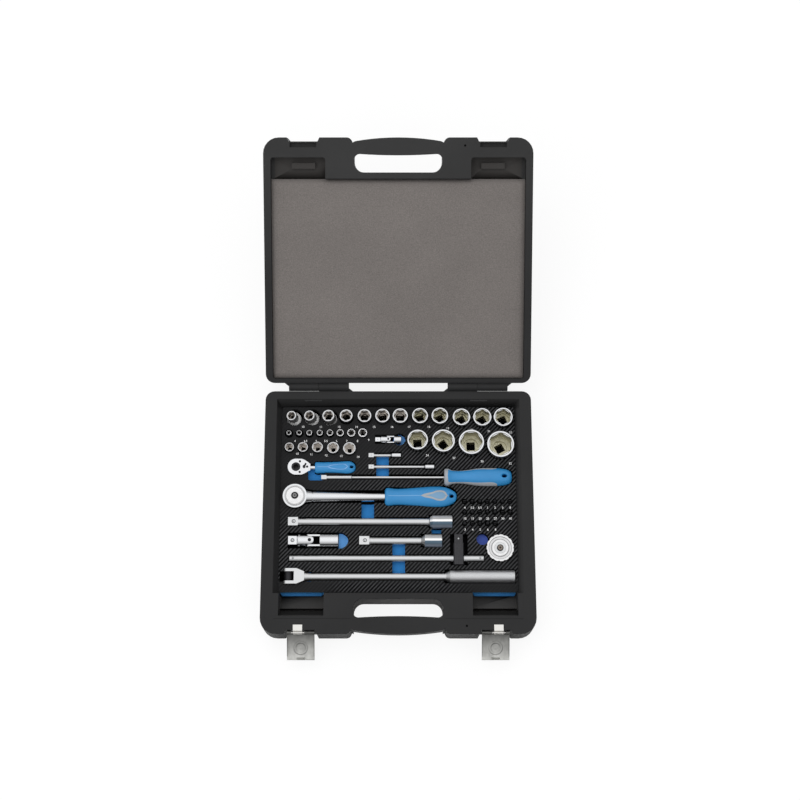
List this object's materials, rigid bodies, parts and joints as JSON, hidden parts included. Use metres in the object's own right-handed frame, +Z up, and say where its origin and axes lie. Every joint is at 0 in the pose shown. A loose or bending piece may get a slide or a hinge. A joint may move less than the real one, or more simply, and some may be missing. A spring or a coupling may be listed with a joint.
{
  "type": "socket wrench set",
  "caption": "Two-drive socket wrench set: sockets, ratchets, extensions, universal joints, bars and bits in a foam tray inside a hinged case with latches and a carrying handle.",
  "frame": {"origin": "centre of the base's underside", "axes": "+X to the right as the open case is read, +Y towards the hinge, +Z up"},
  "size_m": [0.41, 0.7768, 0.213],
  "materials": {
    "case_plastic": "finely grained blow-moulded plastic",
    "hinge_steel": "bright drawn wire",
    "latch_nickel": "satin nickel-plated sheet",
    "lid_foam": "soft grey foam with a felted face",
    "tray_black": "black foam skin with a faint light hatch",
    "tray_blue": "blue closed-cell foam",
    "chrome": "satin chrome plate",
    "bit_black": "black phosphated steel",
    "grip_blue": "moulded two-colour grip",
    "drive_steel": "plain machined steel",
    "dark_steel": "black oxide steel",
    "cross_steel": "ground steel"
  },
  "bodies": {
    "base": {"case_base": "case_plastic", "hinge_pins": "hinge_steel", "latch_brackets": "latch_nickel", "tray_top": "tray_black", "tray_base": "tray_blue"},
    "lid": {"case_lid": "case_plastic", "lid_foam": "lid_foam"},
    "latch_left": {"latch_lever_left": "latch_nickel"},
    "latch_right": {"latch_lever_right": "latch_nickel"},
    "socket_half_10": {"socket_half_10": "chrome"},
    "socket_half_11": {"socket_half_11": "chrome"},
    "socket_half_13": {"socket_half_13": "chrome"},
    "socket_half_14": {"socket_half_14": "chrome"},
    "socket_half_15": {"socket_half_15": "chrome"},
    "socket_half_16": {"socket_half_16": "chrome"},
    "socket_half_17": {"socket_half_17": "chrome"},
    "socket_half_18": {"socket_half_18": "chrome"},
    "socket_half_19": {"socket_half_19": "chrome"},
    "socket_half_20": {"socket_half_20": "chrome"},
    "socket_half_21": {"socket_half_21": "chrome"},
    "socket_half_22": {"socket_half_22": "chrome"},
    "socket_half_24": {"socket_half_24": "chrome"},
    "socket_half_27": {"socket_half_27": "chrome"},
    "socket_half_30": {"socket_half_30": "chrome"},
    "socket_half_32": {"socket_half_32": "chrome"},
    "sockets_quarter_small": {"sockets_quarter_small": "chrome"},
    "sockets_quarter_large": {"sockets_quarter_large": "chrome"},
    "screwdriver_bits": {"screwdriver_bits": "bit_black"},
    "ratchet_half": {"ratchet_half_body": "chrome", "ratchet_half_grip": "grip_blue", "ratchet_half_pawl": "cross_steel"},
    "ratchet_half_drive": {"ratchet_half_drive": "drive_steel"},
    "ratchet_half_dial": {"ratchet_half_dial": "chrome"},
    "ratchet_half_button": {"ratchet_half_button": "dark_steel"},
    "ratchet_quarter": {"ratchet_quarter_body": "chrome", "ratchet_quarter_cover": "chrome", "ratchet_quarter_grip": "grip_blue"},
    "ratchet_quarter_drive": {"ratchet_quarter_drive": "drive_steel"},
    "ratchet_quarter_selector": {"ratchet_quarter_selector": "drive_steel"},
    "spinner": {"spinner_shaft": "chrome", "spinner_grip": "grip_blue"},
    "palm_ratchet": {"palm_ratchet_body": "chrome"},
    "palm_ratchet_drive": {"palm_ratchet_drive": "drive_steel"},
    "palm_ratchet_button": {"palm_ratchet_button": "drive_steel"},
    "joint_half": {"joint_half_plug_yoke": "chrome"},
    "joint_half_cross": {"joint_half_cross": "cross_steel"},
    "joint_half_socket_yoke": {"joint_half_socket_yoke": "chrome"},
    "joint_quarter": {"joint_quarter_plug_yoke": "chrome"},
    "joint_quarter_cross": {"joint_quarter_cross": "cross_steel"},
    "joint_quarter_socket_yoke": {"joint_quarter_socket_yoke": "chrome"},
    "extension_half_long": {"extension_half_long": "chrome"},
    "extension_half_short": {"extension_half_short": "chrome"},
    "extension_quarter_long": {"extension_quarter_long": "chrome"},
    "extension_quarter_short": {"extension_quarter_short": "chrome"},
    "tbar": {"tbar_rod": "chrome"},
    "tbar_slider": {"tbar_slider": "dark_steel"},
    "breaker": {"breaker_bar": "chrome", "breaker_pin": "hinge_steel"},
    "breaker_head": {"breaker_head": "dark_steel"}
  },
  "joints": [
    {"name": "lid_hinge", "type": "hinge", "parent": "base", "child": "lid", "pos_m": [0, 0.194, 0.052], "axis": [-1, 0, 0], "range_deg": [-155, 0]},
    {"name": "latch_left_hinge", "type": "hinge", "parent": "base", "child": "latch_left", "pos_m": [-0.1445, -0.18435, 0.045], "axis": [1, 0, 0], "range_deg": [-112, 0]},
    {"name": "latch_right_hinge", "type": "hinge", "parent": "base", "child": "latch_right", "pos_m": [0.1445, -0.18435, 0.045], "axis": [1, 0, 0], "range_deg": [-112, 0]},
    {"name": "socket_half_10_lift", "type": "slide", "parent": "base", "child": "socket_half_10", "axis": [0, 0, 1], "range_m": [0, 0.06]},
    {"name": "socket_half_11_lift", "type": "slide", "parent": "base", "child": "socket_half_11", "axis": [0, 0, 1], "range_m": [0, 0.06]},
    {"name": "socket_half_13_lift", "type": "slide", "parent": "base", "child": "socket_half_13", "axis": [0, 0, 1], "range_m": [0, 0.06]},
    {"name": "socket_half_14_lift", "type": "slide", "parent": "base", "child": "socket_half_14", "axis": [0, 0, 1], "range_m": [0, 0.06]},
    {"name": "socket_half_15_lift", "type": "slide", "parent": "base", "child": "socket_half_15", "axis": [0, 0, 1], "range_m": [0, 0.06]},
    {"name": "socket_half_16_lift", "type": "slide", "parent": "base", "child": "socket_half_16", "axis": [0, 0, 1], "range_m": [0, 0.06]},
    {"name": "socket_half_17_lift", "type": "slide", "parent": "base", "child": "socket_half_17", "axis": [0, 0, 1], "range_m": [0, 0.06]},
    {"name": "socket_half_18_lift", "type": "slide", "parent": "base", "child": "socket_half_18", "axis": [0, 0, 1], "range_m": [0, 0.06]},
    {"name": "socket_half_19_lift", "type": "slide", "parent": "base", "child": "socket_half_19", "axis": [0, 0, 1], "range_m": [0, 0.06]},
    {"name": "socket_half_20_lift", "type": "slide", "parent": "base", "child": "socket_half_20", "axis": [0, 0, 1], "range_m": [0, 0.06]},
    {"name": "socket_half_21_lift", "type": "slide", "parent": "base", "child": "socket_half_21", "axis": [0, 0, 1], "range_m": [0, 0.06]},
    {"name": "socket_half_22_lift", "type": "slide", "parent": "base", "child": "socket_half_22", "axis": [0, 0, 1], "range_m": [0, 0.06]},
    {"name": "socket_half_24_lift", "type": "slide", "parent": "base", "child": "socket_half_24", "axis": [0, 0, 1], "range_m": [0, 0.06]},
    {"name": "socket_half_27_lift", "type": "slide", "parent": "base", "child": "socket_half_27", "axis": [0, 0, 1], "range_m": [0, 0.06]},
    {"name": "socket_half_30_lift", "type": "slide", "parent": "base", "child": "socket_half_30", "axis": [0, 0, 1], "range_m": [0, 0.06]},
    {"name": "socket_half_32_lift", "type": "slide", "parent": "base", "child": "socket_half_32", "axis": [0, 0, 1], "range_m": [0, 0.06]},
    {"name": "sockets_quarter_small_lift", "type": "slide", "parent": "base", "child": "sockets_quarter_small", "axis": [0, 0, 1], "range_m": [0, 0.06]},
    {"name": "sockets_quarter_large_lift", "type": "slide", "parent": "base", "child": "sockets_quarter_large", "axis": [0, 0, 1], "range_m": [0, 0.06]},
    {"name": "screwdriver_bits_lift", "type": "slide", "parent": "base", "child": "screwdriver_bits", "axis": [0, 0, 1], "range_m": [0, 0.06]},
    {"name": "ratchet_half_lift", "type": "slide", "parent": "base", "child": "ratchet_half", "axis": [0, 0, 1], "range_m": [0, 0.06]},
    {"name": "ratchet_half_drive_spin", "type": "hinge", "parent": "ratchet_half", "child": "ratchet_half_drive", "pos_m": [-0.1572, 0.0232, 0.036], "axis": [0, 0, 1], "continuous": true},
    {"name": "ratchet_half_dial_turn", "type": "hinge", "parent": "ratchet_half", "child": "ratchet_half_dial", "pos_m": [-0.1572, 0.0232, 0.036], "axis": [0, 0, 1], "range_deg": [0, 50]},
    {"name": "ratchet_half_button_press", "type": "slide", "parent": "ratchet_half_drive", "child": "ratchet_half_button", "axis": [0, 0, 1], "range_m": [-0.002, 0], "stiffness_N_per_m": 300},
    {"name": "ratchet_quarter_lift", "type": "slide", "parent": "base", "child": "ratchet_quarter", "axis": [0, 0, 1], "range_m": [0, 0.06]},
    {"name": "ratchet_quarter_drive_spin", "type": "hinge", "parent": "ratchet_quarter", "child": "ratchet_quarter_drive", "pos_m": [-0.1567, 0.0695, 0.036], "axis": [0, 0, 1], "continuous": true},
    {"name": "ratchet_quarter_selector_turn", "type": "hinge", "parent": "ratchet_quarter", "child": "ratchet_quarter_selector", "pos_m": [-0.1442, 0.0695, 0.036], "axis": [0, 0, 1], "range_deg": [-20, 20]},
    {"name": "spinner_lift", "type": "slide", "parent": "base", "child": "spinner", "axis": [0, 0, 1], "range_m": [0, 0.06]},
    {"name": "palm_ratchet_lift", "type": "slide", "parent": "base", "child": "palm_ratchet", "axis": [0, 0, 1], "range_m": [0, 0.06]},
    {"name": "palm_ratchet_drive_spin", "type": "hinge", "parent": "palm_ratchet", "child": "palm_ratchet_drive", "pos_m": [0.1536, -0.0567, 0.036], "axis": [0, 0, 1], "continuous": true},
    {"name": "palm_ratchet_button_press", "type": "slide", "parent": "palm_ratchet_drive", "child": "palm_ratchet_button", "axis": [0, 0, 1], "range_m": [-0.0015, 0], "stiffness_N_per_m": 300},
    {"name": "joint_half_lift", "type": "slide", "parent": "base", "child": "joint_half", "axis": [0, 0, 1], "range_m": [0, 0.06]},
    {"name": "joint_half_turn", "type": "hinge", "parent": "joint_half", "child": "joint_half_cross", "pos_m": [-0.1338, -0.0448, 0.036], "axis": [0, 0, 1], "range_deg": [-2, 2]},
    {"name": "joint_half_tilt", "type": "hinge", "parent": "joint_half_cross", "child": "joint_half_socket_yoke", "pos_m": [-0.1338, -0.0448, 0.036], "axis": [0, -1, 0], "range_deg": [0, 40]},
    {"name": "joint_quarter_lift", "type": "slide", "parent": "base", "child": "joint_quarter", "axis": [0, 0, 1], "range_m": [0, 0.06]},
    {"name": "joint_quarter_turn", "type": "hinge", "parent": "joint_quarter", "child": "joint_quarter_cross", "pos_m": [-0.0154, 0.1138, 0.036], "axis": [0, 0, 1], "range_deg": [-2.5, 2.5]},
    {"name": "joint_quarter_tilt", "type": "hinge", "parent": "joint_quarter_cross", "child": "joint_quarter_socket_yoke", "pos_m": [-0.0154, 0.1138, 0.036], "axis": [0, -1, 0], "range_deg": [0, 40]},
    {"name": "extension_half_long_lift", "type": "slide", "parent": "base", "child": "extension_half_long", "axis": [0, 0, 1], "range_m": [0, 0.06]},
    {"name": "extension_half_short_lift", "type": "slide", "parent": "base", "child": "extension_half_short", "axis": [0, 0, 1], "range_m": [0, 0.06]},
    {"name": "extension_quarter_long_lift", "type": "slide", "parent": "base", "child": "extension_quarter_long", "axis": [0, 0, 1], "range_m": [0, 0.06]},
    {"name": "extension_quarter_short_lift", "type": "slide", "parent": "base", "child": "extension_quarter_short", "axis": [0, 0, 1], "range_m": [0, 0.06]},
    {"name": "tbar_lift", "type": "slide", "parent": "base", "child": "tbar", "axis": [0, 0, 1], "range_m": [0, 0.06]},
    {"name": "tbar_slider_slide", "type": "slide", "parent": "tbar", "child": "tbar_slider", "axis": [1, 0, 0], "range_m": [-0.0048, 0.0058]},
    {"name": "breaker_lift", "type": "slide", "parent": "base", "child": "breaker", "axis": [0, 0, 1], "range_m": [0, 0.06]},
    {"name": "breaker_head_swing", "type": "hinge", "parent": "breaker", "child": "breaker_head", "pos_m": [-0.165, -0.0995, 0.036], "axis": [0, -1, 0], "range_deg": [-13, 12]}
  ]
}
